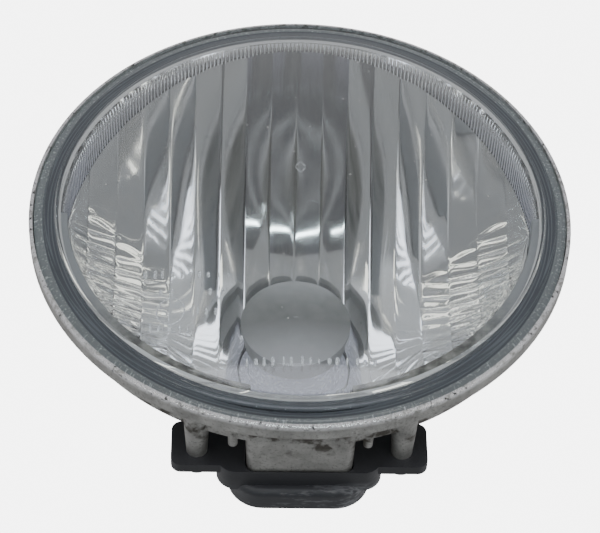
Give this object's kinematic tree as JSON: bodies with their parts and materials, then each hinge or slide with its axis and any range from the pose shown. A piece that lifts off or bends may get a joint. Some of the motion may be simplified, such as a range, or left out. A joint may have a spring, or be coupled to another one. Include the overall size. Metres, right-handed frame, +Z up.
{
  "type": "fog light",
  "caption": "Round fog light with a thick domed lens, strip mirror, cast metal shell with a box below, black rear cover and a twist-in bulb",
  "frame": {"origin": "middle of the line between the two mounting bosses' holes, on the bosses' rear faces", "axes": "+Z up, +Y backwards out of the mounting bosses (the lens faces -Y), +X to the right seen from the front"},
  "size_m": [0.1404, 0.1205, 0.1404],
  "materials": {
    "cast_alloy": "as-cast die-cast aluminium, dull, scuffed bright along the rim",
    "insert_steel": "plated thread insert",
    "lens_glass": "thick clear pressed glass, faint blue-green at the edge",
    "sealant": "dark blue-grey bonding compound",
    "mirror_coat": "vacuum-coated mirror on moulded strips",
    "cap_grey": "satin grey paint on pressed steel",
    "hood_glass": "clear tube with a pale lilac sheen",
    "spring_steel": "bright spring steel",
    "black_plastic": "black glass-filled plastic, worn satin on the collar",
    "seal_rubber": "black rubber",
    "screw_steel": "zinc-plated steel",
    "filter_foam": "open-cell foam",
    "bulb_glass": "clear quartz glass",
    "tungsten": "tungsten wire",
    "lead_wire": "nickel wire",
    "collar_steel": "plated pressed steel",
    "bulb_plastic": "dark grey heat-proof plastic",
    "terminal_brass": "tinned brass blade"
  },
  "bodies": {
    "lamp": {"housing": "cast_alloy", "thread_inserts": "insert_steel", "lens": "lens_glass", "lens_sealant": "sealant", "reflector": "mirror_coat", "glare_cap": "cap_grey", "bulb_hood": "hood_glass", "hood_retainer": "spring_steel", "rear_cover": "black_plastic", "cover_seal": "seal_rubber", "cover_screws": "screw_steel", "cover_washers": "screw_steel", "vent_filter": "filter_foam", "neck_seal": "seal_rubber"},
    "bulb": {"bulb_capsule": "bulb_glass", "bulb_filament": "tungsten", "filament_leads": "lead_wire", "bulb_collar": "collar_steel", "bulb_flange": "collar_steel", "bulb_body": "bulb_plastic", "bulb_terminals": "terminal_brass"}
  },
  "joints": [
    {"name": "bulb_twist", "type": "hinge", "parent": "lamp", "child": "bulb", "pos_m": [0, 0.0377, -0.0505], "axis": [0, 1, 0], "range_deg": [0, 45]}
  ]
}
